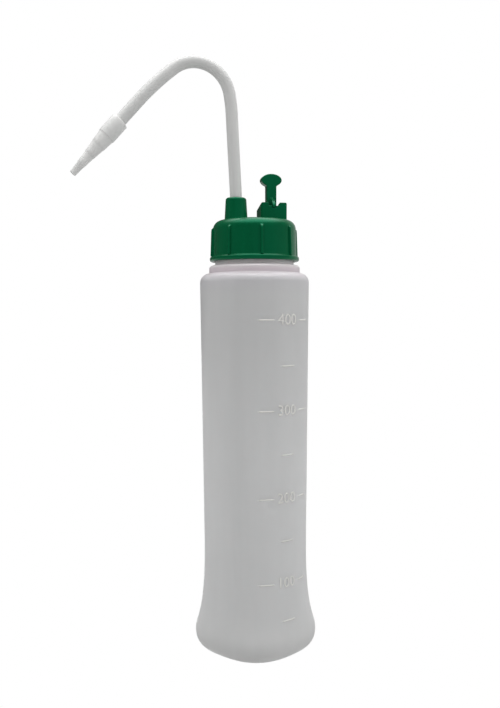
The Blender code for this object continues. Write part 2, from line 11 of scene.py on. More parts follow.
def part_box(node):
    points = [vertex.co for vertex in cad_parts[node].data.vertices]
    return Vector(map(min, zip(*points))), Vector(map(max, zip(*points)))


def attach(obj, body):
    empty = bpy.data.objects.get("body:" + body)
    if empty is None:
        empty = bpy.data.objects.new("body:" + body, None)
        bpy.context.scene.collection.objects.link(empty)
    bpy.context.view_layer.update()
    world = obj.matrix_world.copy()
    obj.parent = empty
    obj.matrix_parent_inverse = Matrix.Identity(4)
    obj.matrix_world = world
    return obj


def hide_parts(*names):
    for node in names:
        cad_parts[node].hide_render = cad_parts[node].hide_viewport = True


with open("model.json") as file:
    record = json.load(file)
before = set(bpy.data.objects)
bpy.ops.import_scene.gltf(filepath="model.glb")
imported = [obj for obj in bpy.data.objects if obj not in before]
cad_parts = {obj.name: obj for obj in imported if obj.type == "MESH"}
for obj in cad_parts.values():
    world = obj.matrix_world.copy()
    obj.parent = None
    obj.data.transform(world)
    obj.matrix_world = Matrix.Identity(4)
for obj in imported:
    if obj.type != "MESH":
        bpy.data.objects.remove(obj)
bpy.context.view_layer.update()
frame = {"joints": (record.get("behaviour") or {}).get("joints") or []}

MM = 0.001
TURN = 2.0 * math.pi
GAP = 0.3 * MM
MERGE_DISTANCE = 0.0005 * MM
WHITE = (1.0, 1.0, 1.0, 1.0)

# ------------ places read from the frame

BOTTLE_LOW, BOTTLE_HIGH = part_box("bottle")
CAP_LOW, CAP_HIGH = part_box("screw_cap")
SEAL_LOW, SEAL_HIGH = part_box("seal_ring")
VENT_SEAL_LOW, VENT_SEAL_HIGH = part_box("vent_seal")
DIP_LOW, DIP_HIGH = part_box("dip_tube")
LEVER_LOW, LEVER_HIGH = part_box("vent_lever")
JOINTS = {joint["name"]: joint for joint in frame["joints"]}

AXIS = Vector(((BOTTLE_LOW.x + BOTTLE_HIGH.x) / 2, 0.0, 0.0))
BOSS_AXIS = Vector((JOINTS["tube_swivel"]["pos_m"][0], 0.0, 0.0))
PIVOT = Vector(JOINTS["lever_fold"]["pos_m"])
VENT_AXIS = Vector((PIVOT.x, PIVOT.y, 0.0))
BLOCK_CENTRE = Vector((PIVOT.x, 0.0, 0.0))
ARM_DIRECTION = Vector(JOINTS["nozzle_pull"]["axis"]).normalized()
PITCH = JOINTS["cap_lift"]["range_m"][1] / (JOINTS["cap_unscrew"]["range_deg"][1] / 360.0)

# ------------ sizes

# Bottle
BODY_TOP_R = 27.75 * MM
BODY_LOW_R = 27.25 * MM
WALL = 1.2 * MM
FLARE_TOP_Z = 60.0 * MM
FLARE_BEND_Z = 17.2 * MM
FOOT_WIDEST_Z = 9.1 * MM
FOOT_FACE_OUT = 3.25 * MM
FOOT_CORNER_OUT = 5.5 * MM
FOOT_CORNER_ANGLE = math.radians(-10.0)
HEEL_WIDTH = 7.0 * MM
STAND_INNER_R = 21.5 * MM
PUNT_R = 17.0 * MM
PUNT_Z = 2.6 * MM
FLOOR_THICKNESS = 1.6 * MM
SHOULDER_Z = 194.6 * MM
SHOULDER_RADIUS = 4.6 * MM
COLLAR_R = 23.1 * MM
COLLAR_TOP_Z = 203.1 * MM
COLLAR_ROUND = 1.6 * MM
BEAD_R = 20.0 * MM
BEAD_TOP_Z = 206.2 * MM
NECK_R = 18.3 * MM
NECK_BORE_R = 16.5 * MM
RIM_Z = BOTTLE_HIGH.z
SIDES = 192
SEAM_HEIGHT = 0.09 * MM
BASE_RIB_HEIGHT = 0.35 * MM
BASE_RIB_WIDTH = 1.0 * MM

# Screw thread
THREAD_TURNS = 1.5
THREAD_ROOT = 1.7 * MM
THREAD_CREST = 0.9 * MM
THREAD_DEPTH = 1.05 * MM
NECK_THREAD_Z = 210.0 * MM
THREAD_ROW = 0.3 * MM

# Screw cap
CAP_WALL_R = 21.0 * MM
CAP_FOOT_R = 21.4 * MM
CAP_INNER_R = 19.75 * MM
CAP_MOUTH_R = 20.4 * MM
CAP_BOTTOM_Z = CAP_LOW.z
FLANGE_R = (CAP_HIGH.x - CAP_LOW.x) / 2
FLANGE_TOP_Z = 207.5 * MM
CAP_EDGE_RADIUS = 4.5 * MM
CAP_TOP_Z = 225.3 * MM
CAP_CROWN = 0.3 * MM
CAP_CEILING_Z = 223.3 * MM
CAP_SINK = 0.9 * MM  # how far the boss and the block reach into the cap's top
RIB_COUNT = 8
RIB_WIDTH = 1.3 * MM
RIB_TOP_R = 21.95 * MM
RIB_FOOT_R = 22.55 * MM
RIB_FIRST_ANGLE = math.radians(-2.0)
RIB_TOP_Z = 221.9 * MM

# Tube boss, dip tube socket and tubes
BOSS_FOOT_R = 5.8 * MM
BOSS_TOP_R = 5.25 * MM
BOSS_TOP_Z = CAP_HIGH.z
BOSS_ROUND = 1.3 * MM
TUBE_R = 3.0 * MM
TUBE_BORE_R = 1.9 * MM
LEDGE_Z = 224.2 * MM
LEDGE_HEIGHT = 1.0 * MM
SOCKET_R = 5.0 * MM
SOCKET_BOTTOM_Z = 215.0 * MM
RISER_START_Z = 236.0 * MM
DIP_CUT = 5.0 * MM
TUBE_SIDES = 56

# Delivery tube above the boss as sections (length, turn in degrees, steps), the headings between
# which it bends, and how much narrower and wider its section is in the bend
TUBE_SECTIONS = ((1.9 * MM, 2.7, 4), (38.0 * MM, 0.0, 8), (9.5 * MM, 7.5, 8),
                 (34.8 * MM, 116.6, 48), (24.0 * MM, 10.1, 12), (21.7 * MM, 0.0, 5))
BEND_TURNS = (math.radians(92.7), math.radians(226.9))
BEND_NARROW = 0.035
BEND_WIDE = 0.025

# Nozzle tip, with (distance, radius) of the steps of its cone
SLEEVE_OVERLAP = 9.0 * MM
NOZZLE_SLEEVE = 10.0 * MM
SLEEVE_R = 4.35 * MM
NOZZLE_STEPS = ((15.8 * MM, 3.45 * MM), (22.0 * MM, 2.62 * MM), (28.2 * MM, 2.0 * MM))
NOZZLE_LENGTH = 34.3 * MM
NOZZLE_TIP_R = 1.65 * MM
NOZZLE_JET_R = 0.7 * MM
NOZZLE_RIDGE = 0.09 * MM

# Vent block
BLOCK_WIDTH = 13.4 * MM
BLOCK_DEPTH = 11.4 * MM
BLOCK_TOP_Z = 233.9 * MM
BLOCK_FALL = 2.4 * MM
BLOCK_ROUND = 0.9 * MM
SLOT_WIDTH = 5.6 * MM
SLOT_FLOOR_Z = VENT_SEAL_HIGH.z
FRONT_WALL = 1.35 * MM
FRONT_WALL_Z = 232.3 * MM
NOTCH_DEPTH = 1.0 * MM
PORT_R = 0.9 * MM
VENT_SEAL_R = (VENT_SEAL_HIGH.x - VENT_SEAL_LOW.x) / 2
VENT_SEAL_BORE_R = 1.1 * MM

# Vent lever, about its pivot
BARREL_R = 2.5 * MM
TRUNNION_R = 1.2 * MM
TRUNNION_REACH = 4.8 * MM
STEM_WIDTH = 5.0 * MM
LEVER_THICKNESS = 4.8 * MM
TAB_Z = 15.1 * MM
TAB_HALF_WIDTH = (LEVER_HIGH.x - LEVER_LOW.x) / 2
TAB_HALF_HEIGHT = 3.05 * MM
TAB_FILLET = 1.0 * MM
FIN_THICKNESS = 1.4 * MM
FIN_TOP = 6.3 * MM
FIN_BOTTOM = 1.3 * MM
FIN_REACH = 7.9 * MM
CROSS_HOLE_R = 0.9 * MM
EDGE_ROUND = 0.45 * MM
REMESH_VOXEL = 0.13 * MM

# Raised volume marks: heights, and their ends as degrees from the middle of the figures
MARK_100_Z = 41.95 * MM
MARK_STEP = 22.32 * MM
MARK_50_Z = 22.1 * MM
MARK_HEIGHT = 0.13 * MM
MARK_LINE = 0.85 * MM
MARK_CENTRE = math.radians(-66.0)
SHORT_MARK = (-7.5, 9.5)
LEFT_MARK = (-32.5, -15.5)
RIGHT_MARK = (16.5, 32.5)
MARK_SECTION = ((-1.0, -0.15), (-0.8, 0.45), (-0.4, 0.9), (0.0, 1.0), (0.4, 0.9), (0.8, 0.45), (1.0, -0.15))
FIGURE_SIZE = 7.7 * MM

# Painted light and shade on the bottle's plastic, as (height, colour): darker at the foot and towards the
# top, darkest at the shoulder to damp its highlight, lighter in the middle, and lighter and pinker at the
# collar and neck for light shining through the plastic
BODY_PAINTED_LIGHT = (
    (0.0, (0.91, 0.91, 0.90)), (25.0 * MM, (0.93, 0.93, 0.93)), (60.0 * MM, (1.01, 1.01, 1.01)),
    (110.0 * MM, (1.0, 1.0, 1.0)), (165.0 * MM, (0.88, 0.88, 0.88)), (188.0 * MM, (0.87, 0.87, 0.87)),
    (196.0 * MM, (0.82, 0.81, 0.83)), (200.0 * MM, (0.88, 0.79, 0.84)), (203.5 * MM, (1.06, 0.98, 1.0)),
    (230.0 * MM, (1.06, 0.98, 1.0)),
)

# Camera: its place about the bottle, then its tilt, aim and roll
CAMERA_TURN = math.radians(12.0)
CAMERA_DISTANCE = 0.433
CAMERA_HEIGHT = 0.1766
CAMERA_DIP = math.radians(9.7)
CAMERA_AIM = math.radians(0.316)
CAMERA_ROLL = math.radians(0.25)
CAMERA_LENS = 42.05
CAMERA_SHIFT = 0.1497

# Floor and surroundings
FLOOR_SIZE = 8.0
FLOOR_GLOW = 0.58
AROUND_LIGHT = 0.61
MIRRORED_ROOM = 0.06

# What shiny surfaces mirror: turn in degrees from straight ahead of the camera, height angle,
# reach as the cosines where the light starts and is full, strength
MIRRORED = (
    (0.0, 90.0, (0.6, 0.97), 3.2),
    (35.0, 0.0, (0.6, 0.9), 0.4),
    (135.0, 5.0, (0.4, 1.0), 0.2),
)

# Lamps: name, turn in degrees from the camera's side, distance, height, width, length, power
LIGHTS = (
    ("top_light", -15.0, 0.15, 1.05, 0.6, 0.4, 4.5),
    ("back_light", 175.0, 0.45, 0.95, 1.2, 0.35, 6.0),
    ("left_light", -68.0, 0.9, 0.45, 0.45, 0.8, 1.4),
    ("right_light", 72.0, 0.9, 0.45, 0.45, 0.8, 2.1),
)
LIGHTS_AIM_Z = 0.2


# ------------ mesh helpers

def new_object(name, data):
    """A new object in the scene."""
    item = bpy.data.objects.new(name, data)
    bpy.context.scene.collection.objects.link(item)
    return item


def new_mesh(name, shape):
    """A mesh made of a working shape, which is freed."""
    mesh = bpy.data.meshes.new(name)
    shape.to_mesh(mesh)
    shape.free()
    return mesh


def evaluated_mesh(item):
    """The mesh of an object with its modifiers applied."""
    bpy.context.view_layer.update()
    shown = item.evaluated_get(bpy.context.evaluated_depsgraph_get())
    return bpy.data.meshes.new_from_object(shown)


def object_from_bmesh(name, shape, origin=Vector((0.0, 0.0, 0.0)), sharp=35.0):
    """A smooth-shaded object with outward faces, its mesh moved to the given origin."""
    bmesh.ops.remove_doubles(shape, verts=shape.verts, dist=MERGE_DISTANCE)
    bmesh.ops.recalc_face_normals(shape, faces=shape.faces)
    bmesh.ops.translate(shape, vec=origin, verts=shape.verts)
    mesh = new_mesh(name, shape)
    mesh.shade_smooth()
    mesh.set_sharp_from_angle(angle=math.radians(sharp))
    return new_object(name, mesh)


def skin(rings, closed=False):
    """Join rings of points with quads; a ring of one point closes the shape with a fan."""
    shape = bmesh.new()
    rows = [[shape.verts.new(point) for point in ring] for ring in rings]
    pairs = list(zip(rows, rows[1:]))
    if closed:
        pairs.append((rows[-1], rows[0]))
    for low, high in pairs:
        count = max(len(low), len(high))
        for i in range(count):
            j = (i + 1) % count
            corners = [low[i % len(low)], low[j % len(low)], high[j % len(high)], high[i % len(high)]]
            shape.faces.new(list(dict.fromkeys(corners)))
    return shape


def prism(outline_low, outline_high):
    """A closed prism between two outlines of the same length."""
    shape = skin([outline_low, outline_high])
    shape.verts.ensure_lookup_table()
    shape.faces.new(shape.verts[:len(outline_low)])
    shape.faces.new(shape.verts[len(outline_low):])
    return shape


def turned_ring(radius, z, sides):
    """One horizontal ring, or its centre point when the radius is zero."""
    if radius == 0.0:
        return [Vector((0.0, 0.0, z))]
    turns = [TURN * i / sides for i in range(sides)]
    return [Vector((radius * math.cos(a), radius * math.sin(a), z)) for a in turns]


def turned(profile, sides, closed=False):
    """A turned shape from (radius, z) points."""
    return skin([turned_ring(radius, z, sides) for radius, z in profile], closed)


def arc(centre, radius, start, end, steps):
    """Points (x, z) on an arc between two angles in degrees, ends included."""
    points = []
    for i in range(steps + 1):
        angle = math.radians(start + (end - start) * i / steps)
        points.append((centre[0] + radius * math.cos(angle), centre[1] + radius * math.sin(angle)))
    return points


def steps_between(start, end, count):
    """Evenly spaced values from start to end, both included."""
    return [start + (end - start) * i / count for i in range(count + 1)]


def smooth(value):
    """Smooth step from 0 to 1."""
    value = min(1.0, max(0.0, value))
    return value * value * (3.0 - 2.0 * value)


def box(width, depth, height, centre):
    """A plain box."""
    shape = bmesh.new()
    bmesh.ops.create_cube(shape, size=1.0)
    bmesh.ops.scale(shape, vec=(width, depth, height), verts=shape.verts)
    bmesh.ops.translate(shape, vec=centre, verts=shape.verts)
    return shape


def rod(radius, length, sides, centre, along="Z"):
    """A solid round rod centred on a point."""
    shape = bmesh.new()
    bmesh.ops.create_cone(shape, cap_ends=True, segments=sides, radius1=radius, radius2=radius,
                          depth=length)
    if along == "X":
        bmesh.ops.rotate(shape, matrix=Matrix.Rotation(math.pi / 2, 3, "Y"), verts=shape.verts)
    if along == "Y":
        bmesh.ops.rotate(shape, matrix=Matrix.Rotation(math.pi / 2, 3, "X"), verts=shape.verts)
    bmesh.ops.translate(shape, vec=centre, verts=shape.verts)
    return shape


def combine(item, helpers, shape, operation):
    """Add or cut a helper shape with a Boolean."""
    helper = object_from_bmesh("helper", shape)
    helpers.append(helper)
    modifier = item.modifiers.new("combine", "BOOLEAN")
    modifier.operation = operation
    modifier.solver = "EXACT"
    modifier.object = helper


def apply_all(item, helpers=(), sharp=35.0):
    """Turn an object's modifiers into plain mesh and remove its helpers."""
    mesh = evaluated_mesh(item)
    old = item.data
    item.modifiers.clear()
    item.data = mesh
    bpy.data.meshes.remove(old)
    for helper in helpers:
        bpy.data.objects.remove(helper)
    item.data.shade_smooth()
    item.data.set_sharp_from_angle(angle=math.radians(sharp))


def soften(item, helpers, rounds):
    """Apply the Booleans, then remesh finely and smooth, so that every edge is a moulded one."""
    remesh = item.modifiers.new("remesh", "REMESH")
    remesh.mode = "VOXEL"
    remesh.voxel_size = REMESH_VOXEL
    remesh.use_smooth_shade = True
    relax = item.modifiers.new("relax", "SMOOTH")
    relax.factor = 0.5
    relax.iterations = rounds
    apply_all(item, helpers, sharp=60.0)


def thread_share(angle, z, first_z):
    """Height from 0 to 1 of the thread's ridge at a point of a round wall."""
    share = 0.0
    for turn in (angle / TURN, angle / TURN + 1.0):
        if turn > THREAD_TURNS:
            continue
        off = abs(z - first_z - PITCH * turn)
        flank = (THREAD_ROOT / 2 - off) / (THREAD_ROOT / 2 - THREAD_CREST / 2)
        run_out = min(1.0, 10.0 * turn, 10.0 * (THREAD_TURNS - turn))
        share = max(share, smooth(flank) * smooth(run_out))
    return share


# ------------ bottle

def body_radius(z):
    """Outer radius of the straight body, which tapers a little towards the foot."""
    share = (z - FLARE_TOP_Z) / (SHOULDER_Z - FLARE_TOP_Z)
    return BODY_LOW_R + (BODY_TOP_R - BODY_LOW_R) * max(0.0, min(1.0, share))


def foot_reach(flare, angle):
    """How far the foot stands out from the round body in one direction."""
    corner = 0.5 + 0.5 * math.cos(4.0 * (angle - FOOT_CORNER_ANGLE))
    return flare * (FOOT_FACE_OUT + (FOOT_CORNER_OUT - FOOT_FACE_OUT) * corner)


def seam(angle):
    """Height of the mould's parting line, which runs through two opposite corners of the foot."""
    off = abs(math.sin(angle - FOOT_CORNER_ANGLE)) * BODY_LOW_R
    return SEAM_HEIGHT * math.exp(-((off / (0.5 * MM)) ** 2))


def base_rib(angle, radius):
    """Height of the short radial ribs under the base, one in the middle of each side."""
    off = abs(math.sin(2.0 * (angle - FOOT_CORNER_ANGLE) - math.pi / 2)) * radius / 2.0
    fade = 1.5 * MM
    inner = smooth((radius - PUNT_R) / fade)
    outer = smooth((STAND_INNER_R + 4.0 * MM - radius) / fade)
    return BASE_RIB_HEIGHT * (inner * outer) * math.exp(-((off / (BASE_RIB_WIDTH / 2)) ** 2))


def bottle_ring(radius, flare, z, seamed=False, threaded=False, ribbed=False):
    """A ring of the bottle; flare 1 is the full soft-square foot and 0 is round."""
    points = []
    for i in range(SIDES):
        angle = FOOT_CORNER_ANGLE + TURN * i / SIDES
        reach = radius + foot_reach(flare, angle)
        height = z
        if seamed:
            reach += seam(angle)
        if threaded:
            reach += THREAD_DEPTH * thread_share(angle % TURN, z, NECK_THREAD_Z)
        if ribbed:
            height = max(z, 0.35 * MM) - base_rib(angle, reach) if z > 0.1 * MM else z
        points.append(Vector((reach * math.cos(angle), reach * math.sin(angle), height)))
    return points


def round_rings(points, seamed=False, threaded=False):
    """Round rings of the bottle at (radius, z) points."""
    return [bottle_ring(radius, 0.0, z, seamed=seamed, threaded=threaded) for radius, z in points]


def flare_curve(steps):
    """(flare, z) from the widest part of the foot up to the straight body, a Bezier S."""
    curve = []
    for t in steps_between(0.0, 1.0, steps):
        flare = 1.0 - 3.0 * t * t * (1.0 - t) - t ** 3
        z = (FOOT_WIDEST_Z * (1.0 - t) ** 3 + 3.0 * FLARE_BEND_Z * t * (1.0 - t)
             + FLARE_TOP_Z * t ** 3)
        curve.append((flare, z))
    return curve


def bottle_outside():
    """Rings of the outer surface, from the middle of the base up to the rim."""
    rings = [[Vector((0.0, 0.0, PUNT_Z))]]
    for share in steps_between(0.15, 1.0, 6):
        rings.append(bottle_ring(PUNT_R * share, 0.0, PUNT_Z, ribbed=True))
    for share in steps_between(0.1, 1.0, 9):
        fall = smooth(share)
        radius = PUNT_R + (STAND_INNER_R - PUNT_R) * share
        rings.append(bottle_ring(radius, 0.0, PUNT_Z * (1.0 - fall), ribbed=True))
    rings.append(bottle_ring(STAND_INNER_R + 1.5 * MM, 0.0, 0.0))
    for inward, z in arc((0.0, 1.0), 1.0, -90.0, -9.0, 9):
        rings.append(bottle_ring(BODY_LOW_R - HEEL_WIDTH * (1.0 - inward), 1.0, FOOT_WIDEST_Z * z))
    for flare, z in flare_curve(26):
        rings.append(bottle_ring(body_radius(z), flare, z, seamed=True))
    levels = steps_between(FLARE_TOP_Z, SHOULDER_Z, 12)[1:-1]
    rings += round_rings([(body_radius(z), z) for z in levels], seamed=True)
    shoulder = (BODY_TOP_R - SHOULDER_RADIUS, SHOULDER_Z)
    rings += round_rings(arc(shoulder, SHOULDER_RADIUS, 0.0, 88.0, 14), seamed=True)
    shoulder_top = SHOULDER_Z + SHOULDER_RADIUS
    rings += round_rings([(COLLAR_R + 0.12 * MM, shoulder_top + 0.1 * MM),
                          (COLLAR_R, shoulder_top + 0.5 * MM)])
    edge = (COLLAR_R - COLLAR_ROUND, COLLAR_TOP_Z - COLLAR_ROUND)
    rings += round_rings(arc(edge, COLLAR_ROUND, 0.0, 90.0, 7))
    rings += round_rings([(BEAD_R + 0.3 * MM, COLLAR_TOP_Z), (BEAD_R + 0.08 * MM, COLLAR_TOP_Z + 0.1 * MM),
                          (BEAD_R, COLLAR_TOP_Z + 0.35 * MM), (BEAD_R, BEAD_TOP_Z - 0.5 * MM),
                          (BEAD_R - 0.15 * MM, BEAD_TOP_Z - 0.15 * MM), (BEAD_R - 0.5 * MM, BEAD_TOP_Z),
                          (NECK_R + 0.2 * MM, BEAD_TOP_Z + 0.3 * MM)])
    thread_rows = round((RIM_Z - BEAD_TOP_Z - 1.2 * MM) / THREAD_ROW)
    levels = steps_between(BEAD_TOP_Z + 0.6 * MM, RIM_Z - 0.6 * MM, thread_rows)
    rings += round_rings([(NECK_R, z) for z in levels], threaded=True)
    return rings + round_rings(arc((NECK_R - 0.5 * MM, RIM_Z - 0.5 * MM), 0.5 * MM, 10.0, 90.0, 4))


def bottle_inside():
    """Rings of the inner surface, from the rim down to the middle of the floor."""
    profile = arc((NECK_BORE_R + 0.4 * MM, RIM_Z - 0.4 * MM), 0.4 * MM, 90.0, 180.0, 4)
    profile += [(NECK_BORE_R, COLLAR_TOP_Z), (NECK_BORE_R + 0.3 * MM, COLLAR_TOP_Z - 0.9 * MM),
                (NECK_BORE_R + 1.6 * MM, COLLAR_TOP_Z - 2.0 * MM),
                (COLLAR_R - WALL, SHOULDER_Z + SHOULDER_RADIUS - 1.4 * MM)]
    profile += arc((BODY_TOP_R - SHOULDER_RADIUS, SHOULDER_Z), SHOULDER_RADIUS - WALL, 65.0, 0.0, 8)
    for z in reversed(steps_between(FLARE_TOP_Z, SHOULDER_Z, 8)[1:-1]):
        profile.append((body_radius(z) - WALL, z))
    rings = round_rings(profile)
    for flare, z in reversed(flare_curve(20)):
        rings.append(bottle_ring(body_radius(z) - WALL, flare, z))
    heel = HEEL_WIDTH - WALL
    for inward, z in arc((0.0, 1.0), 1.0, -8.0, -90.0, 8):
        height = FLOOR_THICKNESS + (FOOT_WIDEST_Z - FLOOR_THICKNESS) * z
        rings.append(bottle_ring(BODY_LOW_R - WALL - heel * (1.0 - inward), 1.0, height))
    rings.append(bottle_ring(STAND_INNER_R, 0.0, FLOOR_THICKNESS))
    for share in steps_between(0.9, 0.1, 8):
        radius = PUNT_R + (STAND_INNER_R - PUNT_R) * share
        rings.append(bottle_ring(radius, 0.0, PUNT_Z * (1.0 - smooth(share)) + FLOOR_THICKNESS))
    for share in steps_between(1.0, 0.2, 4):
        rings.append(bottle_ring(PUNT_R * share, 0.0, PUNT_Z + FLOOR_THICKNESS))
    rings.append([Vector((0.0, 0.0, PUNT_Z + FLOOR_THICKNESS))])
    return rings


def make_bottle():
    """Blow-moulded bottle: wall, foot, recess, shoulder, collar and threaded neck."""
    shape = skin(bottle_outside() + bottle_inside())
    bottle = object_from_bmesh("bottle_shell", shape, AXIS, sharp=50.0)
    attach(bottle, "bottle")
    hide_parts("bottle")
    return bottle


# ------------ volume marks

def foot_share(z):
    """How much of the foot's flare there is at a height."""
    curve = flare_curve(40)
    for (flare_a, z_a), (flare_b, z_b) in zip(curve, curve[1:]):
        if z_a <= z <= z_b:
            return flare_a + (flare_b - flare_a) * (z - z_a) / (z_b - z_a)
    return 0.0 if z > FLARE_TOP_Z else 1.0


def on_wall(angle, z, out):
    """A point on the bottle's outer wall, or a little off it."""
    reach = body_radius(z) + foot_reach(foot_share(z), angle) + out
    return Vector((reach * math.cos(angle), reach * math.sin(angle), z))


def mark_line(ends, z):
    """A raised line along the wall, half round in section, with its ends run out."""
    rings = []
    start, end = (math.degrees(MARK_CENTRE) + offset for offset in ends)
    for share in steps_between(0.0, 1.0, 14):
        angle = math.radians(start + (end - start) * share)
        grow = 0.15 + 0.85 * smooth(min(share, 1.0 - share) * 18.0)
        ring = []
        for side, out in MARK_SECTION:
            ring.append(on_wall(angle, z + side * grow * MARK_LINE / 2, out * grow * MARK_HEIGHT))
        rings.append(ring)
    shape = skin(rings)
    shape.verts.ensure_lookup_table()
    shape.faces.new(shape.verts[:len(MARK_SECTION)])
    shape.faces.new(shape.verts[-len(MARK_SECTION):])
    return shape


def figure(text, z):
    """A raised number wrapped round the wall."""
    curve = bpy.data.curves.new("figure", "FONT")
    curve.body = text
    curve.size = FIGURE_SIZE
    curve.align_x = "CENTER"
    curve.align_y = "CENTER"
    curve.extrude = MARK_HEIGHT
    curve.bevel_depth = 0.05 * MM
    curve.resolution_u = 4
    flat = new_object("figure", curve)
    mesh = evaluated_mesh(flat)
    shape = bmesh.new()
    shape.from_mesh(mesh)
    bpy.data.objects.remove(flat)
    bpy.data.meshes.remove(mesh)
    for vert in shape.verts:
        out = vert.co.z * 0.55 + 0.25 * MARK_HEIGHT
        angle = MARK_CENTRE + vert.co.x / body_radius(z)
        vert.co = on_wall(angle, z + vert.co.y, out)
    return shape


def make_marks():
    """Raised lines every 50 mL and numbers every 100 mL."""
    shapes = []
    for volume in range(50, 401, 50):
        z = MARK_100_Z + MARK_STEP * (volume - 100) / 50 if volume > 50 else MARK_50_Z
        if volume % 100:
            shapes.append(mark_line(SHORT_MARK, z))
        else:
            shapes.append(mark_line(LEFT_MARK, z))
            shapes.append(mark_line(RIGHT_MARK, z))
            shapes.append(figure(str(volume), z))
    whole = bmesh.new()
    for shape in shapes:
        bmesh.ops.remove_doubles(shape, verts=shape.verts, dist=MERGE_DISTANCE)
        mesh = new_mesh("mark", shape)
        whole.from_mesh(mesh)
        bpy.data.meshes.remove(mesh)
    marks = object_from_bmesh("volume_marks", whole, AXIS, sharp=40.0)
    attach(marks, "bottle")
    return marks


# ------------ screw cap

def cap_angles():
    """Angles of the cap's columns: close together at each rib, wider between."""
    rib_offsets = [0.0, 0.4, 0.8, 1.15, 1.45, 1.65, 1.8, 1.9, 2.05, 2.7, 3.6]
    sector = 360.0 / RIB_COUNT
    angles = []
    for number in range(RIB_COUNT):
        offsets = [-value for value in reversed(rib_offsets[1:])] + rib_offsets
        offsets += steps_between(rib_offsets[-1], sector - rib_offsets[-1], 16)[1:-1]
        angles += [RIB_FIRST_ANGLE + math.radians(number * sector + offset) for offset in offsets]
    return angles


def rib_share(angle, z):
    """Height from 0 to 1 of the grip ribs at a point of the wall."""
    sector = TURN / RIB_COUNT
    off = abs((angle - RIB_FIRST_ANGLE + sector / 2) % sector - sector / 2) * CAP_WALL_R
    across = min(1.0, off / (RIB_WIDTH / 2 + 0.05 * MM))
    return math.sqrt(1.0 - across ** 4) * smooth((RIB_TOP_Z - z) / (1.3 * MM))


def cap_ring(radius, z, ribbed, threaded):
    """A ring of the cap."""
    points = []
    for angle in cap_angles():
        reach = radius
        if ribbed:
            rib_r = RIB_TOP_R + (RIB_FOOT_R - RIB_TOP_R) * (RIB_TOP_Z - z) / (RIB_TOP_Z - FLANGE_TOP_Z)
            reach += (rib_r - radius) * rib_share(angle, z)
        if threaded:
            reach -= THREAD_DEPTH * thread_share(angle % TURN, z, NECK_THREAD_Z + PITCH / 2)
        points.append(Vector((reach * math.cos(angle), reach * math.sin(angle), z)))
    return points


def cap_rows(points, ribbed=False, threaded=False):
    """Rings of the cap at (radius, z) points."""
    return [cap_ring(radius, z, ribbed, threaded) for radius, z in points]


def cap_rings():
    """Rings of the cap from the crown, down the outside and up the inside to the ceiling."""
    edge = (CAP_WALL_R - CAP_EDGE_RADIUS, CAP_TOP_Z - CAP_EDGE_RADIUS)
    shares = steps_between(0.08, 0.92, 8)
    rings = [[Vector((0.0, 0.0, CAP_TOP_Z + CAP_CROWN))]]
    rings += cap_rows([(edge[0] * s, CAP_TOP_Z + CAP_CROWN * (1.0 - smooth(s))) for s in shares])
    profile = arc(edge, CAP_EDGE_RADIUS, 90.0, 0.0, 22)
    for share in steps_between(0.0, 1.0, 10)[1:]:
        z = edge[1] + (FLANGE_TOP_Z + 0.5 * MM - edge[1]) * share
        profile.append((CAP_WALL_R + (CAP_FOOT_R - CAP_WALL_R) * share, z))
    fillet = arc((CAP_FOOT_R + 0.5 * MM, FLANGE_TOP_Z + 0.5 * MM), 0.5 * MM, 180.0, 270.0, 4)
    rings += cap_rows(profile + fillet[1:3], ribbed=True)
    flange_round = 0.9 * MM
    profile = fillet[3:]
    for start, centre_z in ((90.0, FLANGE_TOP_Z - flange_round), (0.0, CAP_BOTTOM_Z + flange_round)):
        profile += arc((FLANGE_R - flange_round, centre_z), flange_round, start, start - 90.0, 6)
    profile += [(CAP_MOUTH_R + 0.3 * MM, CAP_BOTTOM_Z), (CAP_MOUTH_R, CAP_BOTTOM_Z + 0.3 * MM),
                (CAP_MOUTH_R, BEAD_TOP_Z + 0.8 * MM), (CAP_INNER_R, BEAD_TOP_Z + 1.6 * MM)]
    rings += cap_rows(profile)
    thread_rows = round((CAP_CEILING_Z - BEAD_TOP_Z - 2.4 * MM) / THREAD_ROW)
    levels = steps_between(BEAD_TOP_Z + 1.9 * MM, CAP_CEILING_Z - 0.5 * MM, thread_rows)
    rings += cap_rows([(CAP_INNER_R, z) for z in levels], threaded=True)
    profile = arc((CAP_INNER_R - 0.4 * MM, CAP_CEILING_Z - 0.4 * MM), 0.4 * MM, 0.0, 90.0, 3)
    rings += cap_rows(profile + [(NECK_BORE_R * 0.6, CAP_CEILING_Z)])
    rings.append([Vector((0.0, 0.0, CAP_CEILING_Z))])
    return rings


def tube_passages():
    """The boss bore, the ledge between the two tubes and the dip tube's socket."""
    bore_r = TUBE_R + GAP
    profile = [(0.0, BOSS_TOP_Z + 2.0 * MM), (bore_r, BOSS_TOP_Z + 2.0 * MM),
               (bore_r, LEDGE_Z + LEDGE_HEIGHT), (TUBE_BORE_R, LEDGE_Z + LEDGE_HEIGHT),
               (TUBE_BORE_R, LEDGE_Z), (bore_r, LEDGE_Z), (bore_r, SOCKET_BOTTOM_Z - 2.0 * MM),
               (0.0, SOCKET_BOTTOM_Z - 2.0 * MM)]
    shape = turned(profile, 64)
    bmesh.ops.translate(shape, vec=BOSS_AXIS, verts=shape.verts)
    return shape


def vent_passages():
    """The vent seal's counterbore and the vent port below it."""
    seat_r = VENT_SEAL_R + GAP
    seat_z = VENT_SEAL_LOW.z - GAP
    profile = [(0.0, SLOT_FLOOR_Z + 1.0 * MM), (seat_r, SLOT_FLOOR_Z + 1.0 * MM), (seat_r, seat_z),
               (PORT_R, seat_z), (PORT_R, CAP_CEILING_Z - 1.0 * MM), (0.0, CAP_CEILING_Z - 1.0 * MM)]
    shape = turned(profile, 40)
    bmesh.ops.translate(shape, vec=VENT_AXIS, verts=shape.verts)
    return shape


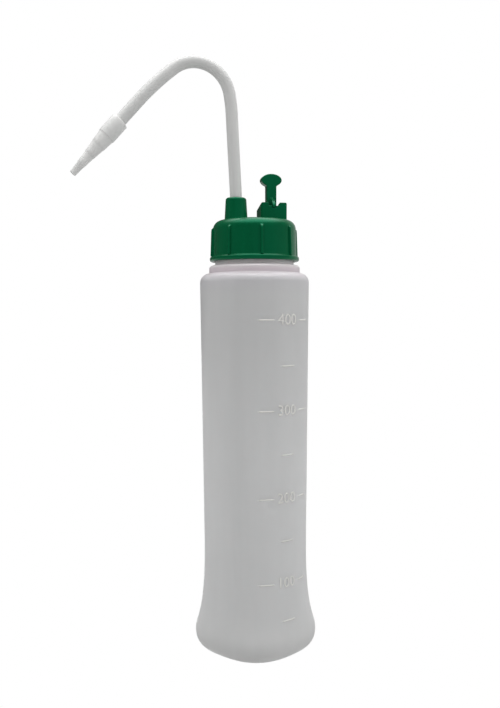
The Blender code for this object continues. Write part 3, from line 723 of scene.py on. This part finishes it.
def make_cap():
    """Cap moulding: crowned top, rounded edge, grip ribs, flange, thread and dip tube socket."""
    cap = object_from_bmesh("cap_shell", skin(cap_rings()), AXIS, sharp=40.0)
    helpers = []
    socket_height = CAP_CEILING_Z + 1.0 * MM - SOCKET_BOTTOM_Z
    centre = BOSS_AXIS + Vector((0.0, 0.0, SOCKET_BOTTOM_Z + socket_height / 2))
    combine(cap, helpers, rod(SOCKET_R, socket_height, 64, centre), "UNION")
    combine(cap, helpers, tube_passages(), "DIFFERENCE")
    combine(cap, helpers, vent_passages(), "DIFFERENCE")
    apply_all(cap, helpers, sharp=40.0)
    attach(cap, "cap")
    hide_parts("screw_cap")
    return cap


def boss_shape():
    """Tapered tube boss with a rounded top, sunk into the cap's top."""
    foot_z = CAP_TOP_Z - CAP_SINK
    profile = [(0.0, foot_z), (BOSS_FOOT_R + 0.3 * MM, foot_z),
               (BOSS_FOOT_R + 0.25 * MM, CAP_TOP_Z + 0.2 * MM), (BOSS_FOOT_R, CAP_TOP_Z + 0.7 * MM)]
    profile += arc((BOSS_TOP_R - BOSS_ROUND, BOSS_TOP_Z - BOSS_ROUND), BOSS_ROUND, 0.0, 80.0, 8)
    profile.append((0.0, BOSS_TOP_Z))
    shape = turned(profile, 96)
    bmesh.ops.translate(shape, vec=BOSS_AXIS, verts=shape.verts)
    return shape


def make_boss():
    """The tube boss, part of the cap moulding."""
    boss = object_from_bmesh("cap_tube_boss", boss_shape())
    helpers = []
    combine(boss, helpers, tube_passages(), "DIFFERENCE")
    apply_all(boss, helpers, sharp=40.0)
    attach(boss, "cap")
    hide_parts("screw_cap")
    return boss


def make_vent_block():
    """The lever's block: two cheeks that fall to the back, a front wall with a notch, a vent seat."""
    low = CAP_TOP_Z - CAP_SINK
    centre = BLOCK_CENTRE + Vector((0.0, 0.0, (BLOCK_TOP_Z + low) / 2))
    shape = box(BLOCK_WIDTH, BLOCK_DEPTH, BLOCK_TOP_Z - low, centre)
    rim = [edge for edge in shape.edges if max(v.co.z for v in edge.verts) > BLOCK_TOP_Z - 0.1 * MM
           and abs(edge.verts[0].co.x - edge.verts[1].co.x) < 0.1 * MM]
    bmesh.ops.bevel(shape, geom=rim, offset=BLOCK_ROUND, segments=6, profile=0.5, affect="EDGES")
    for vert in shape.verts:
        if vert.co.y > 0.0 and vert.co.z > low + 1.0 * MM:
            vert.co.z -= BLOCK_FALL
    block = object_from_bmesh("cap_vent_block", shape)
    helpers = []
    slot_centre = BLOCK_CENTRE + Vector((0.0, FRONT_WALL, SLOT_FLOOR_Z + 5.0 * MM))
    window_centre = BLOCK_CENTRE + Vector((0.0, -BLOCK_DEPTH / 2, FRONT_WALL_Z + 2.0 * MM))
    notch_centre = window_centre - Vector((0.0, 0.0, NOTCH_DEPTH))
    cuts = [box(SLOT_WIDTH, BLOCK_DEPTH, 10.0 * MM, slot_centre),
            box(SLOT_WIDTH, 4.0 * MM, 4.0 * MM, window_centre),
            box(FIN_THICKNESS + 2.0 * GAP, 4.0 * MM, 4.0 * MM, notch_centre),
            rod(TRUNNION_R + GAP, 2.0 * (TRUNNION_REACH + GAP), 40, PIVOT, "X"),
            vent_passages()]
    for cut in cuts:
        combine(block, helpers, cut, "DIFFERENCE")
    soften(block, helpers, 4)
    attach(block, "cap")
    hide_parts("screw_cap")
    return block


# ------------ seals

def ring_profile(outer, inner, low, high, edge):
    """Closed outline of a flat ring with rounded edges."""
    profile = arc((outer - edge, high - edge), edge, 90.0, 0.0, 4)
    profile += arc((outer - edge, low + edge), edge, 0.0, -90.0, 4)
    profile += arc((inner + edge, low + edge), edge, -90.0, -180.0, 4)
    profile += arc((inner + edge, high - edge), edge, 180.0, 90.0, 4)
    return profile


def make_seals():
    """The neck's sealing ring and the rubber ring round the vent port."""
    seal_r = (SEAL_HIGH.x - SEAL_LOW.x) / 2
    profile = ring_profile(seal_r, NECK_BORE_R, SEAL_LOW.z, SEAL_HIGH.z, 0.3 * MM)
    seal = object_from_bmesh("seal_ring_fine", turned(profile, 128, closed=True), AXIS)
    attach(seal, "seal")
    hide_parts("seal_ring")
    profile = ring_profile(VENT_SEAL_R, VENT_SEAL_BORE_R, VENT_SEAL_LOW.z, VENT_SEAL_HIGH.z, 0.3 * MM)
    vent = object_from_bmesh("vent_seal_fine", turned(profile, 64, closed=True), VENT_AXIS)
    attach(vent, "cap")
    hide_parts("vent_seal")
    return seal, vent


# ------------ tubes and nozzle

def tube_route():
    """Centre line of the delivery tube as (x, z, heading), about the boss axis."""
    heading = math.pi / 2
    route = [(0.0, LEDGE_Z + LEDGE_HEIGHT + GAP, heading), (0.0, RISER_START_Z, heading)]
    for length, turn, steps in TUBE_SECTIONS:
        half = math.radians(turn) / steps / 2
        chord = length / steps
        if half:
            chord *= math.sin(half) / half
        for _ in range(steps):
            x, z, heading = route[-1]
            route.append((x + chord * math.cos(heading + half), z + chord * math.sin(heading + half),
                          heading + 2.0 * half))
    return route


def bend_share(heading):
    """How far into the bend a heading is: 0 at both ends and 1 at the middle."""
    start, end = BEND_TURNS
    share = min(1.0, max(0.0, (heading - start) / (end - start)))
    return math.sin(math.pi * share)


def route_ring(point, radius):
    """A ring square to the route at one of its points, a little flattened in the bend."""
    x, z, heading = point
    across = radius * (1.0 - BEND_NARROW * bend_share(heading))
    along_y = radius * (1.0 + BEND_WIDE * bend_share(heading))
    ring = []
    for i in range(TUBE_SIDES):
        angle = TURN * i / TUBE_SIDES
        sideways = across * math.cos(angle)
        ring.append(Vector((x - sideways * math.sin(heading), along_y * math.sin(angle),
                            z + sideways * math.cos(heading))))
    return ring


def make_delivery_tube():
    """Bent tube that carries the liquid to the nozzle."""
    route = tube_route()
    rings = [route_ring(point, TUBE_R) for point in route]
    rings += [route_ring(point, TUBE_BORE_R) for point in reversed(route)]
    tube = object_from_bmesh("delivery_tube_fine", skin(rings, closed=True), BOSS_AXIS)
    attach(tube, "tube")
    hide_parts("delivery_tube")
    return tube


def nozzle_profile():
    """Closed (radius, distance) outline of the nozzle: a sleeve, then a cone with three fine steps."""
    outside = arc((SLEEVE_R - 0.35 * MM, 0.35 * MM), 0.35 * MM, -90.0, 0.0, 4)
    outside += arc((SLEEVE_R - 0.25 * MM, NOZZLE_SLEEVE - 0.25 * MM), 0.25 * MM, 0.0, 80.0, 4)
    last_r = SLEEVE_R - 0.3 * MM
    last_z = NOZZLE_SLEEVE + 0.12 * MM
    outside.append((last_r, last_z))
    for distance, radius in NOZZLE_STEPS:
        top = radius + NOZZLE_RIDGE
        for share in steps_between(0.1, 1.0, 4):
            outside.append((last_r + (top - last_r) * share, last_z + (distance - last_z) * share))
        last_r = radius - NOZZLE_RIDGE
        last_z = distance + 0.22 * MM
        outside.append((last_r, last_z))
    tip_round = 0.35 * MM
    outside += arc((NOZZLE_TIP_R - tip_round, NOZZLE_LENGTH - tip_round), tip_round, 0.0, 90.0, 5)
    inside = [(NOZZLE_JET_R, NOZZLE_LENGTH), (NOZZLE_JET_R, NOZZLE_LENGTH - 4.0 * MM),
              (TUBE_BORE_R, SLEEVE_OVERLAP + 2.0 * MM), (TUBE_BORE_R, SLEEVE_OVERLAP + GAP),
              (TUBE_R + GAP, SLEEVE_OVERLAP + GAP), (TUBE_R + GAP, 0.3 * MM)]
    return outside + inside


def make_nozzle():
    """Tapered jet pushed over the arm's end."""
    shape = turned(nozzle_profile(), 72, closed=True)
    end_x, end_z, heading = tube_route()[-1]
    end = BOSS_AXIS + Vector((end_x, 0.0, end_z)) - ARM_DIRECTION * SLEEVE_OVERLAP
    bmesh.ops.rotate(shape, matrix=Matrix.Rotation(math.pi / 2 - heading, 3, "Y"), verts=shape.verts)
    nozzle = object_from_bmesh("nozzle_fine", shape, end, sharp=50.0)
    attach(nozzle, "nozzle")
    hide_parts("nozzle_tip")
    return nozzle


def make_dip_tube():
    """Straight tube from the socket to the floor, cut on a slant at its foot."""
    rings = []
    for radius, upper in ((TUBE_R, False), (TUBE_R, True), (TUBE_BORE_R, True), (TUBE_BORE_R, False)):
        ring = turned_ring(radius, DIP_HIGH.z, TUBE_SIDES)
        if not upper:
            for point in ring:
                point.z = DIP_LOW.z + DIP_CUT * (0.5 + 0.5 * point.x / TUBE_R)
        rings.append(ring)
    dip = object_from_bmesh("dip_tube_fine", skin(rings, closed=True), BOSS_AXIS)
    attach(dip, "cap")
    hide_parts("dip_tube")
    return dip


# ------------ vent lever

def lever_outline():
    """Outline of stem and thumb tab as (x, z), about the pivot, with fillets where they meet."""
    half = STEM_WIDTH / 2
    join = math.asin((half + TAB_FILLET * 0.8) / TAB_HALF_WIDTH)
    join_x = TAB_HALF_WIDTH * math.sin(join)
    join_z = TAB_Z - TAB_HALF_HEIGHT * math.cos(join)
    start = Vector((half, join_z - TAB_FILLET))
    corner = Vector((half, join_z - 0.15 * MM))
    end = Vector((join_x, join_z))
    outline = [(half, 0.0)]
    for t in steps_between(0.0, 1.0, 7):
        point = start * (1.0 - t) ** 2 + corner * 2.0 * t * (1.0 - t) + end * t * t
        outline.append((point.x, point.y))
    for angle in steps_between(join, math.pi, 28)[1:]:
        outline.append((TAB_HALF_WIDTH * math.sin(angle), TAB_Z - TAB_HALF_HEIGHT * math.cos(angle)))
    return outline + [(-x, z) for x, z in reversed(outline[:-1])]


def stop_fin():
    """Thin fin in front of the stem's foot, with a curved front edge."""
    face = LEVER_THICKNESS / 2
    edge = []
    for t in steps_between(0.0, 1.0, 14):
        reach = face + (FIN_REACH - face) * math.sin(t * math.pi / 2)
        edge.append((-reach, FIN_TOP + (FIN_BOTTOM - FIN_TOP) * t ** 1.3))
    outline = [(-face + 0.5 * MM, FIN_TOP)] + edge + [(-face + 0.5 * MM, FIN_BOTTOM)]
    half = FIN_THICKNESS / 2
    return prism([Vector((-half, y, z)) for y, z in outline],
                 [Vector((half, y, z)) for y, z in outline])


def lever_blade():
    """Stem and thumb tab with well rounded edges."""
    half = LEVER_THICKNESS / 2
    outline = lever_outline()
    shape = prism([Vector((x, -half, z)) for x, z in outline],
                  [Vector((x, half, z)) for x, z in outline])
    bmesh.ops.recalc_face_normals(shape, faces=shape.faces)
    rim = [edge for edge in shape.edges if abs(edge.verts[0].co.y - edge.verts[1].co.y) < 0.1 * MM
           and max(vert.co.z for vert in edge.verts) > 0.1 * MM]
    bmesh.ops.bevel(shape, geom=rim, offset=EDGE_ROUND, segments=5, profile=0.5, affect="EDGES")
    return shape


def make_lever():
    """T-shaped vent lever: stem, oval thumb tab, stop fin, valve barrel and trunnions."""
    lever = object_from_bmesh("vent_lever_fine", lever_blade())
    origin = Vector((0.0, 0.0, 0.0))
    cross_hole = rod(CROSS_HOLE_R, 4.0 * BARREL_R, 24, Vector((0.0, 0.0, -1.1 * MM)), "Y")
    helpers = []
    combine(lever, helpers, rod(BARREL_R, STEM_WIDTH, 64, origin, "X"), "UNION")
    combine(lever, helpers, rod(TRUNNION_R, 2.0 * TRUNNION_REACH, 40, origin, "X"), "UNION")
    combine(lever, helpers, stop_fin(), "UNION")
    combine(lever, helpers, cross_hole, "DIFFERENCE")
    soften(lever, helpers, 5)
    lever.data.transform(Matrix.Translation(PIVOT))
    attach(lever, "lever")
    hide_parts("vent_lever")
    return lever


# ------------ materials

def new_material(name):
    """A new node material and its Principled shader."""
    material = bpy.data.materials.new(name)
    material.use_nodes = True
    return material, material.node_tree.nodes["Principled BSDF"]


def noise(material, scale, detail, stretch=(1.0, 1.0, 1.0)):
    """Noise in the piece's own coordinates; scale is in cycles a metre."""
    nodes = material.node_tree.nodes
    links = material.node_tree.links
    place = nodes.new("ShaderNodeTexCoord")
    mapping = nodes.new("ShaderNodeMapping")
    mapping.inputs["Scale"].default_value = stretch
    texture = nodes.new("ShaderNodeTexNoise")
    texture.inputs["Scale"].default_value = scale
    texture.inputs["Detail"].default_value = detail
    texture.inputs["Roughness"].default_value = 0.5
    links.new(place.outputs["Object"], mapping.inputs["Vector"])
    links.new(mapping.outputs["Vector"], texture.inputs["Vector"])
    return texture.outputs["Fac"]


def ranged(material, value, low, high):
    """Map a noise from its middle range to the range low..high."""
    node = material.node_tree.nodes.new("ShaderNodeMapRange")
    node.inputs["From Min"].default_value = 0.3
    node.inputs["From Max"].default_value = 0.7
    node.inputs["To Min"].default_value = low
    node.inputs["To Max"].default_value = high
    material.node_tree.links.new(value, node.inputs["Value"])
    return node.outputs["Result"]


def blended(material, value, dark, light):
    """Mix two colours by a noise."""
    node = material.node_tree.nodes.new("ShaderNodeMix")
    node.data_type = "RGBA"
    node.inputs["A"].default_value = (*dark, 1.0)
    node.inputs["B"].default_value = (*light, 1.0)
    material.node_tree.links.new(ranged(material, value, 0.0, 1.0), node.inputs["Factor"])
    return node.outputs["Result"]


def graded(material, colour, painted_stops):
    """Paint light and shade by height: multiply a colour by tints that change with the height, given as
    (height, tint) stops.
    """
    nodes = material.node_tree.nodes
    links = material.node_tree.links
    place = nodes.new("ShaderNodeTexCoord")
    parts = nodes.new("ShaderNodeSeparateXYZ")
    height = nodes.new("ShaderNodeMath")
    height.operation = "DIVIDE"
    top, top_tint = painted_stops[-1]
    height.inputs[1].default_value = top
    ramp = nodes.new("ShaderNodeValToRGB")
    tints = ramp.color_ramp.elements
    tints.remove(tints[0])
    tints[0].position = 1.0
    tints[0].color = (*top_tint, 1.0)
    # Each stop lightens or darkens the colour at its height as painted light and shade.
    for level, tint in painted_stops[:-1]:
        tints.new(level / top).color = (*tint, 1.0)
    tinted = nodes.new("ShaderNodeMix")
    tinted.data_type = "RGBA"
    tinted.blend_type = "MULTIPLY"
    tinted.inputs["Factor"].default_value = 1.0
    links.new(place.outputs["Object"], parts.inputs["Vector"])
    links.new(parts.outputs["Z"], height.inputs[0])
    links.new(height.outputs["Value"], ramp.inputs["Fac"])
    links.new(colour, tinted.inputs["A"])
    links.new(ramp.outputs["Color"], tinted.inputs["B"])
    return tinted.outputs["Result"]


def bumped(material, shader, value, strength, distance):
    """Give the shader a bump from a noise."""
    bump = material.node_tree.nodes.new("ShaderNodeBump")
    bump.inputs["Strength"].default_value = strength
    bump.inputs["Distance"].default_value = distance
    material.node_tree.links.new(value, bump.inputs["Height"])
    material.node_tree.links.new(bump.outputs["Normal"], shader.inputs["Normal"])


def milky(name, dark, light, clear=0.0, rough=0.33, uneven=0.0, scatter=0.0, painted_stops=()):
    """Milky polyethylene: satin, with faint streaks, partly clear, scattering, and with light and shade
    painted into its colour by height.
    """
    material, shader = new_material(name)
    links = material.node_tree.links
    streaks = noise(material, 160.0, 2.0, (1.0, 1.0, 0.05))
    colour = blended(material, streaks, dark, light)
    # Painted light and shade: the colour is darkened or lightened by height.
    if painted_stops:
        colour = graded(material, colour, painted_stops)
    links.new(colour, shader.inputs["Base Color"])
    grain = noise(material, 500.0, 2.0)
    links.new(ranged(material, grain, rough - 0.03, rough + 0.03), shader.inputs["Roughness"])
    bumped(material, shader, noise(material, 90.0, 1.0), uneven, 0.3 * MM)
    shader.inputs["IOR"].default_value = 1.5
    shader.inputs["Transmission Weight"].default_value = clear
    shader.inputs["Subsurface Weight"].default_value = scatter
    shader.inputs["Subsurface Radius"].default_value = (1.0, 0.95, 0.95)
    shader.inputs["Subsurface Scale"].default_value = 4.0 * MM
    return material


def glossy_green(name):
    """Glossy green polypropylene with faint flow marks and a fine moulded grain."""
    material, shader = new_material(name)
    links = material.node_tree.links
    flow = noise(material, 120.0, 3.0, (1.0, 1.0, 0.35))
    links.new(blended(material, flow, (0.001, 0.078, 0.028), (0.0015, 0.096, 0.035)),
              shader.inputs["Base Color"])
    grain = noise(material, 1800.0, 3.0)
    links.new(ranged(material, grain, 0.16, 0.26), shader.inputs["Roughness"])
    bumped(material, shader, noise(material, 700.0, 5.0), 0.1, 0.08 * MM)
    shader.inputs["Specular IOR Level"].default_value = 0.5
    shader.inputs["Specular Tint"].default_value = (0.12, 1.0, 0.62, 1.0)
    return material


def soft_white(name):
    """Matte white foamed polyethylene."""
    material, shader = new_material(name)
    links = material.node_tree.links
    grain = noise(material, 900.0, 4.0)
    links.new(blended(material, grain, (0.72, 0.72, 0.7), (0.8, 0.8, 0.78)), shader.inputs["Base Color"])
    links.new(ranged(material, grain, 0.5, 0.65), shader.inputs["Roughness"])
    bumped(material, shader, grain, 0.2, 0.1 * MM)
    return material


def black_rubber(name):
    """Matte black rubber."""
    material, shader = new_material(name)
    links = material.node_tree.links
    grain = noise(material, 1500.0, 4.0)
    links.new(blended(material, grain, (0.018, 0.018, 0.018), (0.03, 0.03, 0.03)),
              shader.inputs["Base Color"])
    links.new(ranged(material, grain, 0.55, 0.7), shader.inputs["Roughness"])
    bumped(material, shader, grain, 0.2, 0.05 * MM)
    return material


def dress(item, material):
    """Give a piece its one material."""
    item.data.materials.clear()
    item.data.materials.append(material)


# ------------ floor, light and camera

def make_camera():
    """Camera level with the 400 mL mark, a little to the nozzle's side, tilted down."""
    data = bpy.data.cameras.new("camera")
    data.lens = CAMERA_LENS
    data.sensor_width = 36.0
    data.shift_y = CAMERA_SHIFT
    data.clip_start = 0.01
    camera = new_object("camera", data)
    back = Vector((-math.sin(CAMERA_TURN), -math.cos(CAMERA_TURN), 0.0))
    camera.location = AXIS + back * CAMERA_DISTANCE + Vector((0.0, 0.0, CAMERA_HEIGHT))
    camera.rotation_euler = (math.pi / 2 - CAMERA_DIP, CAMERA_ROLL, CAMERA_AIM - CAMERA_TURN)
    bpy.context.scene.camera = camera


def seen_white(tree, lighting, output):
    """Show plain white to the camera, and the given shader to every other ray."""
    path = tree.nodes.new("ShaderNodeLightPath")
    white = tree.nodes.new("ShaderNodeEmission")
    white.inputs["Color"].default_value = WHITE
    white.inputs["Strength"].default_value = 1.0
    mix = tree.nodes.new("ShaderNodeMixShader")
    tree.links.new(path.outputs["Is Camera Ray"], mix.inputs["Fac"])
    tree.links.new(lighting, mix.inputs[1])
    tree.links.new(white.outputs["Emission"], mix.inputs[2])
    tree.links.new(mix.outputs["Shader"], output)


def make_floor():
    """Plain pale floor that glows evenly."""
    shape = bmesh.new()
    bmesh.ops.create_grid(shape, x_segments=1, y_segments=1, size=FLOOR_SIZE / 2)
    floor = new_object("floor", new_mesh("floor", shape))
    material, shader = new_material("floor_white")
    shader.inputs["Base Color"].default_value = (0.0, 0.0, 0.0, 1.0)
    shader.inputs["Specular IOR Level"].default_value = 0.0
    shader.inputs["Emission Color"].default_value = WHITE
    shader.inputs["Emission Strength"].default_value = FLOOR_GLOW
    tree = material.node_tree
    seen_white(tree, shader.outputs["BSDF"], tree.nodes["Material Output"].inputs["Surface"])
    material.cycles.emission_sampling = "NONE"
    dress(floor, material)


def area_light(name, location, target, width, height, power):
    """A soft rectangular light aimed at a point."""
    data = bpy.data.lights.new(name, "AREA")
    data.shape = "RECTANGLE"
    data.size = width
    data.size_y = height
    data.energy = power
    light = new_object(name, data)
    light.location = location
    light.rotation_euler = (target - location).to_track_quat("-Z", "Y").to_euler()
    light.visible_glossy = False


def towards(tree, direction, low, high, strength):
    """Brightness that grows from nothing to its strength as a ray nears a direction."""
    place = tree.nodes.new("ShaderNodeTexCoord")
    facing = tree.nodes.new("ShaderNodeVectorMath")
    facing.operation = "DOT_PRODUCT"
    facing.inputs[1].default_value = direction
    share = tree.nodes.new("ShaderNodeMapRange")
    share.interpolation_type = "SMOOTHSTEP"
    share.inputs["From Min"].default_value = low
    share.inputs["From Max"].default_value = high
    share.inputs["To Max"].default_value = strength
    tree.links.new(place.outputs["Generated"], facing.inputs[0])
    tree.links.new(facing.outputs["Value"], share.inputs["Value"])
    return share.outputs["Result"]


def mirrored_light(tree):
    """What a shiny surface mirrors: a dim room with a light ceiling, a white wall and a soft lamp."""
    total = tree.nodes.new("ShaderNodeValue").outputs["Value"]
    total.default_value = MIRRORED_ROOM
    for turn, height, (low, high), strength in MIRRORED:
        angle = CAMERA_TURN + math.radians(turn)
        rise = math.radians(height)
        direction = (math.cos(rise) * math.sin(angle), math.cos(rise) * math.cos(angle), math.sin(rise))
        more = tree.nodes.new("ShaderNodeMath")
        more.operation = "ADD"
        tree.links.new(total, more.inputs[0])
        tree.links.new(towards(tree, direction, low, high, strength), more.inputs[1])
        total = more.outputs["Value"]
    return total


def make_light():
    """White surroundings, dim where mirrored, with lights above, behind and at each side."""
    world = bpy.data.worlds.new("studio")
    world.use_nodes = True
    tree = world.node_tree
    around = tree.nodes["Background"]
    around.inputs["Color"].default_value = WHITE
    around.inputs["Strength"].default_value = AROUND_LIGHT
    room = tree.nodes.new("ShaderNodeBackground")
    room.inputs["Color"].default_value = WHITE
    tree.links.new(mirrored_light(tree), room.inputs["Strength"])
    path = tree.nodes.new("ShaderNodeLightPath")
    mix = tree.nodes.new("ShaderNodeMixShader")
    tree.links.new(path.outputs["Is Glossy Ray"], mix.inputs["Fac"])
    tree.links.new(around.outputs["Background"], mix.inputs[1])
    tree.links.new(room.outputs["Background"], mix.inputs[2])
    seen_white(tree, mix.outputs["Shader"], tree.nodes["World Output"].inputs["Surface"])
    bpy.context.scene.world = world
    bpy.context.scene.view_settings.view_transform = "Standard"
    aim = Vector((AXIS.x, 0.0, LIGHTS_AIM_Z))
    for name, turn, reach, height, width, tall, power in LIGHTS:
        angle = math.radians(turn) - CAMERA_TURN
        place = Vector((AXIS.x + reach * math.sin(angle), -reach * math.cos(angle), height))
        area_light(name, place, aim, width, tall, power)


# ------------ the scene

def main():
    """Build every piece, give it its material, and set the stage."""
    # The bottle's colour carries painted light and shade by height.
    body = milky("milky_body", (0.89, 0.89, 0.89), (0.92, 0.92, 0.92), clear=0.35, rough=0.34,
                 uneven=0.25, scatter=0.7, painted_stops=BODY_PAINTED_LIGHT)
    tube = milky("milky_tube", (0.66, 0.66, 0.65), (0.69, 0.69, 0.68), clear=0.1, scatter=0.4)
    jet = milky("milky_jet", (0.68, 0.68, 0.67), (0.71, 0.71, 0.70), scatter=0.4)
    mark = milky("milky_marks", (0.70, 0.69, 0.665), (0.72, 0.71, 0.685), rough=0.5)
    green = glossy_green("green_cap")
    make_camera()
    dress(make_bottle(), body)
    dress(make_marks(), mark)
    dress(make_cap(), green)
    dress(make_boss(), green)
    dress(make_vent_block(), green)
    dress(make_lever(), green)
    seal, vent = make_seals()
    dress(seal, soft_white("white_seal"))
    dress(vent, black_rubber("black_vent_seal"))
    dress(make_delivery_tube(), tube)
    dress(make_dip_tube(), tube)
    dress(make_nozzle(), jet)
    make_floor()
    make_light()


main()
